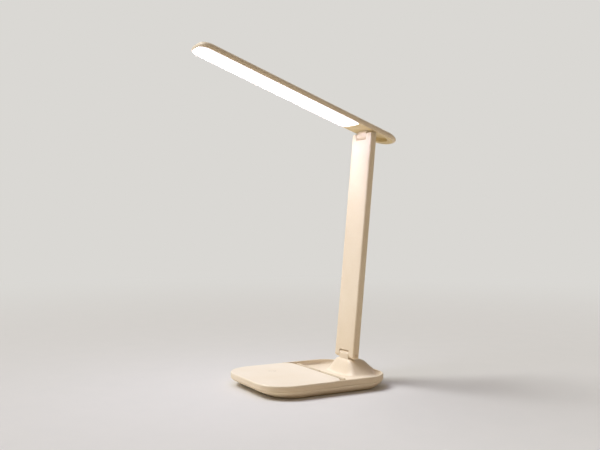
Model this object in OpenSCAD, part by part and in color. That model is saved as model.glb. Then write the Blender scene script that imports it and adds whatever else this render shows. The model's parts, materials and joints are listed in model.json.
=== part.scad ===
// Folding LED desk lamp: a weighted base with a touch plate and a sunken trough,
// a flat hinged stem, and a slim edge-lit light bar hinged on top of it.
// Millimetres, +Z up. The light bar points to -Y. The origin is the middle of the
// face that rests on the table.

/* [Base] */
// Width of the base from side to side
base_w = 112; // [100:1:140]
// Height of the base top above the table
base_h = 13.6; // [13.2:0.1:16]
// Plan radius of the two front corners
front_r = 30; // [20:1:34]
// Plan radius of the two rear corners
rear_r = 28; // [22:1:32]
// Thickness of the anti-slip pad under the base
foot_t = 1; // [0.6:0.1:1.5]
// Height of the seam between the two housings above the table
seam_h = 8; // [7.6:0.1:8.4]
// How far the underside is drawn in at each side
bottom_side_in = 6; // [4:0.5:8]
// How far the underside is drawn in at the front
bottom_front_in = 12.4; // [8:0.2:14]
// How far the underside is drawn in at the rear
bottom_rear_in = 7.6; // [5:0.2:9]
// Wall thickness of the upper housing
housing_wall = 2.6; // [2:0.1:3]
// Wall thickness of the lower housing
lower_wall = 2; // [1.6:0.1:2.4]

/* [Touch plate] */
// Length of the touch plate from the front edge of the base
plate_len = 80.5; // [76:0.5:82]
// Thickness of the touch plate
plate_t = 2.2; // [1.8:0.1:2.4]
// Plan radius of the touch plate's rear corners
plate_rear_r = 14; // [8:1:20]
// Rolled edge of the touch plate
plate_roll = 1.3; // [0.6:0.1:1.5]
// Thickness of the deck under the touch plate
deck_t = 1.4; // [1.2:0.1:1.6]

/* [Trough] */
// Length of the base behind the touch plate: the trough and the hinge hump
trough_len = 57.5; // [52:0.5:75]
// Depth of the trough below the base top
trough_depth = 5; // [4:0.1:5.2]
// Thickness of the trough floor
trough_floor_t = 1.6; // [1.4:0.1:2]
// Width of the slope behind the trough
ramp_w = 4.6; // [2:0.1:8]
// Height of the stop ribs above the trough floor
rib_h = 4.6; // [2:0.1:4.8]
// Thickness of a stop rib
rib_t = 2.4; // [2:0.1:4]
// Space between the touch plate and the stop ribs
rib_space = 3.4; // [3:0.1:5]
// Gap between the two stop ribs
rib_gap = 2; // [1:0.5:20]
// Length of each stop rib
rib_len = 46; // [20:1:50]

/* [Stem] */
// Width of the stem
stem_w = 35.5; // [34:0.5:42]
// Thickness of the stem
stem_t = 7.8; // [7.4:0.1:9]
// Length of the stem between its two hinge axes
stem_reach = 228.8; // [200:0.1:260]
// Backward lean of the stem in degrees
stem_lean = 5.56; // [0:0.01:12]
// Radius of the stem's long edges
stem_edge_r = 2; // [1:0.1:2.2]
// Radius of the stem's shoulders beside the hinges
shoulder_r = 3.5; // [2:0.1:4]
// Thickness of the stem's front wall
stem_front_wall = 2; // [1.6:0.1:2.2]
// Thickness of the stem's rear cover
cover_t = 1.5; // [1.2:0.1:1.7]

/* [Hinges] */
// Distance of the base hinge axis from the rear edge of the base
base_axis_in = 20.3; // [19:0.1:23]
// Height of the base hinge axis above the base top
base_axis_rise = 14; // [13.6:0.1:18]
// Width of the knuckle between the stem's ears
knuckle_w = 16.4; // [14:0.1:17.4]
// Diameter of the hinge pins
pin_d = 3; // [2.4:0.1:3.2]
// Thickness of a friction washer
washer_t = 0.6; // [0.4:0.1:1]
// Gap between the stem and the light bar when it is folded against the stem
head_gap = 1; // [0.8:0.1:1.6]

/* [Light bar] */
// Width of the light bar
head_w = 34; // [32:0.5:38]
// Thickness of the light bar
head_t = 6.8; // [6.6:0.1:7.6]
// Length of the light bar in front of its hinge axis
head_front = 204.2; // [180:0.1:222]
// Length of the light bar behind its hinge axis
head_back = 35.1; // [32:0.1:42]
// Upward tilt of the light bar's front end in degrees
head_tilt = 19.28; // [0:0.01:30]
// Plan radius of the light bar's front corners
head_front_r = 10.5; // [8:0.5:15]
// Plan radius of the light bar's tail corners
head_tail_r = 15; // [12:0.5:16]
// Wall thickness of the light bar
head_wall = 1.5; // [1.3:0.1:1.7]
// Thickness of the lip beside the diffuser
lip_t = 0.8; // [0.6:0.1:1]
// Thickness of the diffuser
diffuser_t = 1.4; // [1:0.1:1.6]
// Distance of the diffuser's rear end from the hinge axis
diffuser_rear = 18.2; // [16:0.1:24]
// Plan radius of the diffuser's rear corners
diffuser_rear_r = 6; // [4:0.5:13]
// Thickness of the light guide
guide_t = 2.2; // [1.8:0.1:2.4]
// Number of light-emitting diodes on each strip
led_count = 24; // [8:1:30]

/* [Fits] */
// Gap between pieces that are fitted into each other
fit = 0.15; // [0.1:0.01:0.25]
// Radial clearance of the hinge pins
pin_fit = 0.05; // [0.02:0.01:0.08]

/* [Hidden] */

// Colours of the finishes
cream = "#efe4d2";
cream_shade = "#e2d6c2";
silicone = "#d8ccb8";
steel = "#a9adb2";
copper = "#b87a4b";
board_green = "#2f6b4a";
board_white = "#f2f2ee";
cell_wrap = "#8fa7b8";
wire_white = "#f4f1ea";
chip_black = "#2a2a2c";
opal = "#fffdf6";
acrylic = "#dfeef2";
phosphor = "#f5d64a";

// Smoothness of round shapes, of hulled shapes and of small fasteners
$fn = 64;
hull_fn = 48;
small_fn = 32;
// Overrun of the cuts
over = 0.5;
// Thickness of the slices that a hull is stretched over
slice = 0.05;

// Places along the base
base_len = plate_len + trough_len;
front_y = -base_len / 2;
rear_y = base_len / 2;
plate_rear_y = front_y + plate_len;
axis_y = rear_y - base_axis_in;
axis_z = base_h + base_axis_rise;

// Heights in the base
lower_floor_t = 1.6;
floor_top = foot_t + lower_floor_t;
trough_z = base_h - trough_depth;
deck_under = trough_z - trough_floor_t;
plate_seat_z = base_h - plate_t;
bay_top = plate_seat_z - deck_t;

// The underside's curve: how far it is drawn in just under the seam
belly_in = 0.8;
belly_drop = 1.8;

// Quarter roll of the touch plate's edge, as shares of its radius: depth, then distance from the side
roll_share = [[0.62, 0.08], [0.29, 0.29], [0.08, 0.62]];

// Rounding of the rim and of the seam edge
rim_w = 2.2;
rim_draft = 0.6;
seat_in = 0.6;
deck_wall = 3.2;

// Hump that carries the base hinge
ear_r = stem_t / 2;
ear_gap = 0.6;
hump_top = axis_z - ear_r - ear_gap;
hump_flat = knuckle_w / 2 + ear_gap;
hump_fillet = 20;
hump_front = 8.7;
hump_crest = 4.2;
hump_power = 3;
hump_steps = 10;

// Hinge post
post_fit = 0.2;
post_foot_w = 42;
post_foot_t = 2.2;
post_foot_front = 9;
post_foot_rear = 8.6;
post_screw_x = 15.5;
post_screw_y = 5.6;
post_screw_d = 2.2;
post_screw_l = 7;
foot_under = deck_under - post_foot_t;
groove_w = 3;
groove_d = 1.3;

// Screws
screw_d = 2.4;
screw_head_d = 4.4;
screw_head_t = 1.3;
small_screw_d = 1.6;
small_head_d = 3;
small_head_t = 0.8;
cross_w = 0.5;
cross_len_share = 0.66;

// Screws that join the two housings
boss_d = 7;
boss_split = 4.6;
front_screw_in = 13;
front_screw_back = 29;
front_screw_y = front_y + front_screw_back;
middle_screw_in = 10;
middle_screw_ahead = 10.5;
middle_screw_y = plate_rear_y - middle_screw_ahead;
rear_screw_in = 19;
rear_screw_ahead = 20;
rear_screw_y = rear_y - rear_screw_ahead;
housing_screw_places = [for (sx = [-1, 1]) for (p = [[front_screw_in, front_screw_y],
    [middle_screw_in, middle_screw_y], [rear_screw_in, rear_screw_y]]) [sx * (base_w / 2 - p[0]), p[1]]];
head_recess = 0.3;

// Contents of the base
weight_side_in = 18;
weight_w = base_w - 2 * weight_side_in;
weight_front_in = 17;
weight_rear_in = 5.5;
weight_front = front_y + weight_front_in;
weight_rear = plate_rear_y - weight_rear_in;
weight_t = 3;
weight_r = 4;
cell_side_in = 8;
cell_front_in = 2;
cell_rear_in = 12;
cell_w = weight_w - 2 * cell_side_in;
cell_front = weight_front + cell_front_in;
cell_rear = weight_rear - cell_rear_in;
cell_t = 3.9;
cell_r = 2.5;
tab_w = 8;
tab_len = 3;
board_w = 56;
board_front_in = 0.5;
board_rear_in = 12.7;
board_front = plate_rear_y + board_front_in;
board_rear = axis_y - board_rear_in;
board_t = 1.2;
board_lift = 0.9;
board_r = 1.5;
post_d = 4;
chip_h = 1.5;
usb_w = 8.9;
usb_h = 3.2;
usb_len = 7.3;
usb_wall = 0.35;
usb_tongue_w = 6.2;
usb_tongue_t = 0.7;
usb_set_back = 0.5;
usb_board_w = 17;
usb_board_t = 1;
usb_board_len = 8.6;
usb_lift = 0.8;
usb_z = deck_under + usb_lift + usb_board_t + fit;
sensor_x = -19;
sensor_y = front_y + plate_len / 2;
sensor_d = 18;
sensor_t = 0.4;

// Ribbon cables
ribbon_w = 2.6;
ribbon_t = 0.9;

// Stem
slot_gap = 0.3;
slot_floor = ear_r + slot_gap;
washer_play = 0.1;
washer_fit = 0.1;
ear_in = knuckle_w / 2 + washer_t + washer_play;
stem_side_wall = 2.5;
cavity_end = 12;
ledge_w = 1.4;
cover_side_in = 0.6;
cover_w = stem_w - 2 * (stem_edge_r + cover_side_in);
cover_end = cavity_end - ledge_w;
cover_r = 2;
hook_w = 6;
hook_t = 1.2;
hook_h = 1.3;
hook_count = 5;
spine_w = 22;
spine_t = 1.2;
spine_end = 16;
spine_lift = 0.8;
spine_screw_x = 7.5;
spine_screw_end = 25;
wire_way_w = 4.4;
wire_way_t = 2.4;
cap_d = 3.6;
cap_t = 1.5;
cap_sink = 0.2;
cap_gap = 0.05;
pin_end = stem_w / 2 - cap_t - cap_sink - cap_gap;
washer_d = 6.8;

// Light bar, measured from the head hinge axis
under_z = ear_r + head_gap;
crown_share = [[0, 0.04], [0.16, 0], [0.45, 0], [0.66, 0.07], [0.84, 0.23], [0.95, 0.42], [1, 0.68]];
crown_in = 7;
tail_under_in = 2.2;
guide_gap = 0.1;
shoulder_z = diffuser_t + guide_gap;
strip_t = 0.9;
strip_h = 2.4;
led_t = 0.7;
led_w = 3;
led_h = 1.6;
reflector_t = 0.3;
guide_z = shoulder_z;
reflector_z = guide_z + guide_t + guide_gap;
guide_end_gap = 1.6;
recess_front = 10.6;
recess_rear = 25.6;
recess_w = 22;
recess_d = 4;
recess_r = 8;
recess_wall = 0.9;
foot_z = 2.6;
foot_plate_t = 1.4;
foot_top_z = foot_z + foot_plate_t;
foot_plate_w = 24;
foot_plate_front = 12;
foot_plate_rear = 9.5;
knuckle_screw_x = 9.6;
knuckle_screw_front = 9;
knuckle_screw_rear = 7;
knuckle_boss_d = 4;
head_cavity_z = head_t - head_wall;
cavity_step_z = guide_z + strip_h + fit;
lead_d = 1.1;

// A flat plate outline with its own radius at the front and at the rear corners
module plate_outline(half_w, y_front, y_rear, r_front, r_rear, fn = $fn) {
    middle = (y_front + r_front + y_rear - r_rear) / 2;
    translate([-half_w, y_front + r_front])
        square([2 * half_w, y_rear - r_rear - y_front - r_front]);
    translate([-half_w + r_front, y_front])
        square([2 * (half_w - r_front), middle - y_front]);
    translate([-half_w + r_rear, middle])
        square([2 * (half_w - r_rear), y_rear - middle]);
    for (side = [-1, 1]) {
        translate([side * (half_w - r_front), y_front + r_front])
            circle(r = r_front, $fn = fn);
        translate([side * (half_w - r_rear), y_rear - r_rear])
            circle(r = r_rear, $fn = fn);
    }
}

// A slab with that outline, drawn in on every side
module slab(half_w, y_front, y_rear, r_front, r_rear, z, h, in = 0, fn = $fn) {
    translate([0, 0, z])
        linear_extrude(h)
            plate_outline(half_w - in, y_front + in, y_rear - in, r_front - in, r_rear - in, fn);
}

// The base outline as a slab
module base_slab(z, h, in = 0, fn = $fn) {
    slab(base_w / 2, front_y, rear_y, front_r, rear_r, z, h, in, fn);
}

// The base outline drawn in by different amounts, as a thin slice for a hull
module bottom_slice(z, wall = 0) {
    translate([0, 0, z])
        linear_extrude(slice)
            plate_outline(base_w / 2 - bottom_side_in - wall, front_y + bottom_front_in + wall,
                rear_y - bottom_rear_in - wall, front_r - bottom_side_in - wall,
                rear_r - bottom_side_in - wall, hull_fn);
}

// The touch plate outline as a slab
module plate_slab(z, h, in = 0, fn = $fn) {
    slab(base_w / 2, front_y, plate_rear_y, front_r, plate_rear_r, z, h, in, fn);
}

// A plain box between two corners
module box(low, high) {
    translate(low)
        cube(high - low);
}

// A rod along X
module rod_x(d, x0, x1, fn = $fn) {
    translate([x0, 0, 0])
        rotate([0, 90, 0])
            cylinder(d = d, h = x1 - x0, $fn = fn);
}

// A screw that points to +Z from its head's underside, with a cross recess in the head
module screw(d, len, head_d, head_t) {
    cylinder(d = d, h = len, $fn = small_fn);
    difference() {
        translate([0, 0, -head_t])
            cylinder(d = head_d, h = head_t, $fn = small_fn);
        for (turn = [0, 90])
            rotate([0, 0, turn])
                translate([-head_d * cross_len_share / 2, -cross_w / 2, -head_t - over])
                    cube([head_d * cross_len_share, cross_w, head_t / 2 + over]);
    }
}

// Moves a shape from the stem's own frame to its place on the base
module in_stem() {
    translate([0, axis_y, axis_z])
        rotate([-stem_lean, 0, 0])
            children();
}

// Moves a shape from the light bar's own frame to its place on the stem
module in_head() {
    in_stem()
        translate([0, 0, stem_reach])
            rotate([stem_lean - head_tilt, 0, 0])
                translate([0, 0, under_z])
                    children();
}

function smooth(t) = t * t * (3 - 2 * t);

// The trough as a cut: a flat floor with a slope that rises to the rear rim
module trough_pocket() {
    pocket_y = plate_rear_y - plate_rear_r - housing_wall;
    hull() {
        slab(base_w / 2 - rim_w - rim_draft, pocket_y, rear_y - rim_w - ramp_w, rim_w,
            rear_r - rim_w - ramp_w / 2, trough_z, slice, 0, hull_fn);
        slab(base_w / 2 - rim_w, pocket_y, rear_y - rim_w, rim_w, rear_r - rim_w, base_h, over, 0, hull_fn);
    }
}

// The hump that carries the base hinge: one profile seen from the front, one from the side
module hinge_hump() {
    far = hump_flat + hump_fillet;
    rise = hump_top - trough_z;
    fall = hump_top - base_h;
    foot_y = axis_y - ear_r - hump_front;
    crest_y = axis_y + hump_crest;
    bell = [for (k = [0:hump_steps]) [hump_flat + hump_fillet * k / hump_steps,
        trough_z + rise * (1 + cos(180 * k / hump_steps)) / 2]];
    climb = [for (k = [0:hump_steps]) [foot_y + hump_front * k / hump_steps,
        trough_z + rise * smooth(k / hump_steps)]];
    drop = [for (k = [0:hump_steps]) [crest_y + (rear_y - crest_y) * k / hump_steps,
        hump_top - fall * pow(k / hump_steps, hump_power)]];
    intersection() {
        translate([0, rear_y, 0])
            rotate([90, 0, 0])
                linear_extrude(rear_y - foot_y)
                    polygon(concat([[-far, deck_under]],
                        [for (k = [hump_steps:-1:0]) [-bell[k][0], bell[k][1]]],
                        bell, [[far, deck_under]]));
        rotate([90, 0, 90])
            translate([0, 0, -far])
                linear_extrude(2 * far)
                    polygon(concat([[foot_y, deck_under]], climb, drop, [[rear_y, deck_under]]));
    }
}

// Lower housing: the boat-shaped tray that holds the weight, cell and boards
module lower_housing() {
    color(cream_shade)
        difference() {
            union() {
                difference() {
                    hull() {
                        bottom_slice(foot_t);
                        base_slab(seam_h - belly_drop, slice, belly_in, hull_fn);
                        base_slab(seam_h - slice, slice, 0, hull_fn);
                    }
                    hull() {
                        bottom_slice(floor_top, lower_wall);
                        base_slab(seam_h - belly_drop, slice, belly_in + lower_wall, hull_fn);
                        base_slab(seam_h, over, lower_wall, hull_fn);
                    }
                }
                for (p = housing_screw_places)
                    translate([p[0], p[1], foot_t])
                        cylinder(d = boss_d, h = boss_split - foot_t);
                for (sx = [-1, 1])
                    for (y = [board_front + post_d, board_rear - post_d])
                        translate([sx * (board_w / 2 - post_d), y, foot_t])
                            cylinder(d = post_d, h = lower_floor_t + board_lift, $fn = small_fn);
            }
            for (p = housing_screw_places)
                translate([p[0], p[1], 0]) {
                    cylinder(d = screw_d + 2 * fit, h = boss_split + over);
                    cylinder(d = screw_head_d + 2 * fit, h = foot_t + head_recess + screw_head_t);
                }
        }
}

// Upper housing: band, deck under the plate, trough and hinge hump in one moulding
module upper_housing() {
    color(cream)
        difference() {
            union() {
                difference() {
                    union() {
                        base_slab(seam_h, base_h - seam_h);
                        base_slab(deck_under, seam_h - deck_under + over, lower_wall + belly_in + fit);
                    }
                    difference() {
                        trough_pocket();
                        plate_slab(deck_under, base_h - deck_under + 2 * over, seat_in);
                    }
                }
                intersection() {
                    hinge_hump();
                    base_slab(deck_under, hump_top - deck_under, lower_wall + belly_in + fit);
                }
                for (p = housing_screw_places)
                    translate([p[0], p[1], boss_split])
                        cylinder(d = boss_d, h = deck_under - boss_split + over);
            }
            difference() {
                plate_slab(deck_under - over, bay_top - deck_under + over, deck_wall);
                for (p = housing_screw_places)
                    translate([p[0], p[1], deck_under - 2 * over])
                        cylinder(d = boss_d, h = bay_top - deck_under + 2 * over);
            }
            plate_slab(plate_seat_z, plate_t + over, -fit);
            translate([sensor_x, sensor_y, bay_top - over])
                cylinder(d = sensor_d + 2, h = deck_t + 2 * over);
            box([-knuckle_w / 2 - post_fit, axis_y - ear_r - post_fit, deck_under - over],
                [knuckle_w / 2 + post_fit, axis_y + ear_r + post_fit, axis_z + ear_r]);
            for (p = housing_screw_places)
                translate([p[0], p[1], boss_split - over])
                    cylinder(d = screw_d + fit, h = deck_under - boss_split + over);
            for (sx = [-1, 1])
                for (sy = [-1, 1])
                    translate([sx * post_screw_x, axis_y + sy * post_screw_y, deck_under - over])
                        cylinder(d = post_screw_d + fit, h = post_screw_l - post_foot_t + 2 * over,
                            $fn = small_fn);
            box([-usb_board_w / 2 - fit, rear_y - housing_wall - usb_board_len, deck_under - over],
                [usb_board_w / 2 + fit, rear_y - housing_wall, usb_z]);
            box([-usb_w / 2 - fit, rear_y - usb_set_back - usb_len - fit, deck_under - over],
                [usb_w / 2 + fit, rear_y - housing_wall, usb_z + usb_h + fit]);
            usb_port(usb_len, fit);
        }
}

// The rounded outline of the charging port, cut or filled along Y from its mouth inwards
module usb_port(len, grow) {
    r = usb_h / 2 + grow;
    translate([0, rear_y + over, usb_z + usb_h / 2])
        rotate([90, 0, 0])
            linear_extrude(len + over)
                union() {
                    translate([-usb_w / 2 + usb_h / 2, -r])
                        square([usb_w - usb_h, 2 * r]);
                    for (side = [-1, 1])
                        translate([side * (usb_w / 2 - usb_h / 2), 0])
                            circle(r = r, $fn = small_fn);
                }
}

// Touch plate: the flat front cover with a rolled edge
module touch_plate() {
    color(cream)
        hull() {
            plate_slab(plate_seat_z, plate_t - plate_roll, 0, hull_fn);
            for (p = roll_share)
                plate_slab(base_h - plate_roll * p[0], slice, plate_roll * p[1], hull_fn);
            plate_slab(base_h - slice, slice, plate_roll, hull_fn);
        }
}

// Touch sensor: a thin copper pad bonded under the plate
module touch_sensor() {
    color(copper)
        translate([sensor_x, sensor_y, plate_seat_z - sensor_t])
            cylinder(d = sensor_d, h = sensor_t);
}

// Stop ribs: two soft strips on the trough floor
module stop_ribs() {
    color(silicone)
        for (side = [0, 1])
            mirror([side, 0, 0])
                translate([rib_gap / 2, plate_rear_y + rib_space + rib_t / 2, trough_z])
                    union() {
                        translate([0, -rib_t / 2, 0])
                            cube([rib_len, rib_t, rib_h - rib_t / 2]);
                        translate([0, 0, rib_h - rib_t / 2])
                            rod_x(rib_t, 0, rib_len, small_fn);
                    }
}

// Anti-slip pad: the sheet that the lamp stands on, over the housing screws
module anti_slip_pad() {
    pad_in = 1.5;
    color(silicone)
        linear_extrude(foot_t)
            plate_outline(base_w / 2 - bottom_side_in - pad_in, front_y + bottom_front_in + pad_in,
                rear_y - bottom_rear_in - pad_in, front_r - bottom_side_in - pad_in,
                rear_r - bottom_side_in - pad_in);
}

// Counterweight: a steel plate on the floor of the lower housing
module counterweight() {
    color(steel)
        slab(weight_w / 2, weight_front, weight_rear, weight_r, weight_r, floor_top, weight_t);
}

// Battery: a flat rechargeable cell with its folded end tab
module battery() {
    color(cell_wrap)
        union() {
            slab(cell_w / 2, cell_front, cell_rear, cell_r, cell_r, floor_top + weight_t, cell_t);
            box([-tab_w / 2, cell_rear - over, floor_top + weight_t + fit],
                [tab_w / 2, cell_rear + tab_len, floor_top + weight_t + cell_t / 2]);
        }
}

// Control board: touch dimmer and charger on one board under the trough
module control_board() {
    color(board_green)
        slab(board_w / 2, board_front, board_rear, board_r, board_r, floor_top + board_lift, board_t);
}

// Board parts: the chips, coil and connectors soldered on the control board
module board_parts() {
    z = floor_top + board_lift + board_t;
    parts_share = [[0.12, 0.30, 0.16, 0.34], [0.38, 0.22, 0.12, 0.26], [0.60, 0.50, 0.16, 0.30],
        [0.82, 0.24, 0.10, 0.40], [0.30, 0.66, 0.10, 0.18]];
    color(chip_black)
        for (p = parts_share)
            translate([board_w * (p[0] - 0.5), board_front + (board_rear - board_front) * p[1], z])
                cube([board_w * p[2], (board_rear - board_front) * p[3], chip_h]);
}

// Charging port board
module usb_board() {
    color(board_green)
        box([-usb_board_w / 2, rear_y - housing_wall - usb_board_len + fit, usb_z - usb_board_t],
            [usb_board_w / 2, rear_y - housing_wall - fit, usb_z]);
}

// Charging port: a metal shell with its tongue
module usb_socket() {
    color(steel)
        difference() {
            translate([0, -usb_set_back - over, 0])
                usb_port(usb_len - over, 0);
            difference() {
                translate([0, -usb_set_back, 0])
                    usb_port(usb_len - 4 * usb_wall, -usb_wall);
                translate([-usb_tongue_w / 2, rear_y - usb_len - usb_set_back,
                    usb_z + usb_h / 2 - usb_tongue_t / 2])
                    cube([usb_tongue_w, usb_len - 4 * usb_wall, usb_tongue_t]);
            }
        }
}

// Six screws that join the two housings from below
module housing_screws() {
    color(steel)
        for (p = housing_screw_places)
            translate([p[0], p[1], foot_t + head_recess + screw_head_t])
                screw(screw_d, deck_under - foot_t - 2 * screw_head_t, screw_head_d, screw_head_t);
}

// Hinge post: the cast knuckle of the base hinge with its foot inside the base
module hinge_post() {
    color(cream)
        difference() {
            translate([0, axis_y, 0])
                union() {
                    translate([0, 0, axis_z])
                        rod_x(2 * ear_r, -knuckle_w / 2, knuckle_w / 2);
                    box([-knuckle_w / 2, -ear_r, foot_under],
                        [knuckle_w / 2, ear_r, axis_z]);
                    box([-post_foot_w / 2, -post_foot_front, foot_under],
                        [post_foot_w / 2, post_foot_rear, deck_under]);
                }
            translate([0, axis_y, axis_z])
                rod_x(pin_d + 2 * pin_fit, -knuckle_w / 2 - over, knuckle_w / 2 + over);
            translate([0, axis_y, 0])
                box([-groove_w / 2, ear_r - groove_d, foot_under - over],
                    [groove_w / 2, ear_r + over, axis_z - pin_d]);
            for (sx = [-1, 1])
                for (sy = [-1, 1])
                    translate([sx * post_screw_x, axis_y + sy * post_screw_y, foot_under - over])
                        cylinder(d = post_screw_d + 2 * fit, h = post_foot_t + 2 * over, $fn = small_fn);
        }
}

// Four screws that hold the hinge post's foot up against the housing
module post_screws() {
    color(steel)
        for (sx = [-1, 1])
            for (sy = [-1, 1])
                translate([sx * post_screw_x, axis_y + sy * post_screw_y, foot_under])
                    screw(post_screw_d, post_screw_l, small_head_d + post_screw_d / 3, small_head_t);
}

// Base wire: the ribbon from the control board up the groove of the hinge post
module base_wire() {
    z = floor_top + board_lift + board_t + fit;
    y = axis_y + ear_r - groove_d + fit;
    foot_y = axis_y - post_foot_front;
    color(wire_white)
        union() {
            box([-ribbon_w / 2, board_rear - tab_len, z], [ribbon_w / 2, foot_y, z + ribbon_t]);
            box([-ribbon_w / 2, foot_y - ribbon_t, floor_top + fit], [ribbon_w / 2, foot_y, z + ribbon_t]);
            box([-ribbon_w / 2, foot_y - ribbon_t, floor_top + fit],
                [ribbon_w / 2, y + ribbon_t, floor_top + fit + ribbon_t]);
            box([-ribbon_w / 2, y, floor_top + fit], [ribbon_w / 2, y + ribbon_t, axis_z - pin_d - fit]);
        }
}

// Pins, washers and caps are the same at both hinges
module hinge_pin() {
    color(steel)
        rod_x(pin_d, -pin_end, pin_end, small_fn);
}

module hinge_washers() {
    color(steel)
        for (side = [-1, 1])
            difference() {
                rod_x(washer_d, side * (ear_in - washer_t / 2) - washer_t / 2,
                    side * (ear_in - washer_t / 2) + washer_t / 2);
                rod_x(pin_d + 2 * washer_fit, side * ear_in - washer_t - over,
                    side * ear_in + washer_t + over);
            }
}

module hinge_caps() {
    color(cream_shade)
        for (side = [-1, 1])
            rod_x(cap_d, side > 0 ? stem_w / 2 - cap_t - cap_sink : -stem_w / 2 + cap_sink,
                side > 0 ? stem_w / 2 - cap_sink : -stem_w / 2 + cap_t + cap_sink, small_fn);
}

module base_hinge_pin() { in_stem() hinge_pin(); }

module base_washers() { in_stem() hinge_washers(); }

module base_pin_caps() { in_stem() hinge_caps(); }

module head_hinge_pin() { in_stem() translate([0, 0, stem_reach]) hinge_pin(); }

module head_washers() { in_stem() translate([0, 0, stem_reach]) hinge_washers(); }

module head_pin_caps() { in_stem() translate([0, 0, stem_reach]) hinge_caps(); }

// The stem's outer form: a bar with rounded edges, round ends and soft shoulders
module stem_form() {
    half = stem_w / 2;
    intersection() {
        translate([0, 0, -ear_r])
            linear_extrude(stem_reach + 2 * ear_r)
                plate_outline(half, -ear_r, ear_r, stem_edge_r, stem_edge_r);
        union() {
            box([-half - over, -ear_r - over, 0], [half + over, ear_r + over, stem_reach]);
            for (z = [0, stem_reach])
                translate([0, 0, z])
                    rod_x(2 * ear_r, -half - over, half + over);
        }
        rotate([90, 0, 0])
            translate([0, 0, -ear_r - over])
                linear_extrude(2 * ear_r + 2 * over)
                    plate_outline(half, -ear_r, stem_reach + ear_r, shoulder_r, shoulder_r);
    }
}

// Stem shell: front wall, sides and the four hinge ears in one moulding
module stem_shell() {
    half = stem_w / 2;
    cover_y = ear_r - cover_t - fit;
    color(cream)
        in_stem()
            difference() {
                union() {
                    difference() {
                        stem_form();
                        box([-half + stem_side_wall + ledge_w, -ear_r + stem_front_wall, cavity_end],
                            [half - stem_side_wall - ledge_w, ear_r + over, stem_reach - cavity_end]);
                    }
                    for (sx = [-1, 1])
                        for (z = [spine_screw_end, stem_reach - spine_screw_end])
                            translate([sx * spine_screw_x, -ear_r + stem_front_wall - over, z])
                                rotate([-90, 0, 0])
                                    cylinder(d = knuckle_boss_d, h = spine_lift + over, $fn = small_fn);
                }
                translate([0, cover_y, 0])
                    rotate([-90, 0, 0])
                        mirror([0, 1, 0])
                            linear_extrude(cover_t + fit + over)
                                plate_outline(cover_w / 2 + fit, cover_end - fit,
                                    stem_reach - cover_end + fit, cover_r + fit, cover_r + fit);
                for (z = [0, stem_reach - slot_floor])
                    box([-ear_in, -ear_r - over, z - (z > 0 ? 0 : ear_r + over)],
                        [ear_in, ear_r + over, z + slot_floor + (z > 0 ? ear_r + over : 0)]);
                for (z = [slot_floor - over, stem_reach - cavity_end - over])
                    box([-wire_way_w / 2, -wire_way_t / 2, z],
                        [wire_way_w / 2, wire_way_t / 2, z + cavity_end - slot_floor + 2 * over]);
                for (z = [0, stem_reach])
                    translate([0, 0, z]) {
                        rod_x(pin_d + pin_fit, -half, half);
                        for (side = [-1, 1])
                            rod_x(cap_d + fit, side > 0 ? pin_end : -half - over,
                                side > 0 ? half + over : -pin_end);
                    }
                for (sx = [-1, 1])
                    for (z = [spine_screw_end, stem_reach - spine_screw_end])
                        translate([sx * spine_screw_x, -ear_r + stem_front_wall / 2, z])
                            rotate([-90, 0, 0])
                                cylinder(d = small_screw_d + fit, h = stem_t, $fn = small_fn);
            }
}

// Rear cover: the long panel that closes the stem, with its snap hooks
module stem_rear_cover() {
    step = (stem_reach - 2 * cover_end - 4 * hook_w) / (hook_count - 1);
    color(cream_shade)
        in_stem()
            union() {
                translate([0, ear_r - cover_t, 0])
                    rotate([-90, 0, 0])
                        mirror([0, 1, 0])
                            linear_extrude(cover_t)
                                plate_outline(cover_w / 2, cover_end, stem_reach - cover_end,
                                    cover_r, cover_r);
                for (k = [0:hook_count - 1])
                    for (side = [-1, 1])
                        translate([side * (stem_w / 2 - stem_side_wall - ledge_w - fit - hook_t / 2),
                            ear_r - cover_t - hook_h, cover_end + 2 * hook_w + k * step])
                            translate([-hook_t / 2, 0, -hook_w / 2])
                                cube([hook_t, hook_h + over, hook_w]);
            }
}

// Spine: the steel strip that stiffens the stem
module stem_spine() {
    y = -ear_r + stem_front_wall + spine_lift;
    color(steel)
        in_stem()
            difference() {
                box([-spine_w / 2, y, spine_end], [spine_w / 2, y + spine_t, stem_reach - spine_end]);
                for (sx = [-1, 1])
                    for (z = [spine_screw_end, stem_reach - spine_screw_end])
                        translate([sx * spine_screw_x, y - over, z])
                            rotate([-90, 0, 0])
                                cylinder(d = small_screw_d + fit, h = spine_t + 2 * over, $fn = small_fn);
            }
}

// Four screws that hold the spine to the stem shell
module spine_screws() {
    color(steel)
        in_stem()
            for (sx = [-1, 1])
                for (z = [spine_screw_end, stem_reach - spine_screw_end])
                    translate([sx * spine_screw_x, -ear_r + stem_front_wall + spine_lift + spine_t, z])
                        rotate([90, 0, 0])
                            screw(small_screw_d, spine_t + spine_lift + stem_front_wall / 3,
                                small_head_d, small_head_t);
}

// Stem wire: the ribbon that runs behind the spine from hinge to hinge
module stem_wire() {
    y = -ear_r + stem_front_wall + spine_lift + spine_t + fit;
    color(wire_white)
        in_stem()
            box([-ribbon_w / 2, y, slot_floor + fit],
                [ribbon_w / 2, y + ribbon_t, stem_reach - slot_floor - fit]);
}

// One level of the light bar's outer form, as a slice for a hull
module head_slice(level, in, wall = 0) {
    tail = tail_under_in * max(1 - level / 0.3, 0);
    translate([0, 0, head_t * level - (level > 0 ? slice : 0)])
        linear_extrude(slice)
            plate_outline(head_w / 2 - in - wall, -head_front + in + wall, head_back - in - wall - tail,
                head_front_r - in / 2 - wall, head_tail_r - in / 2 - wall, hull_fn);
}

// The light bar's outer form
module head_form() {
    hull()
        for (level = crown_share)
            head_slice(level[0], level[1] * crown_in);
}

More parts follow.
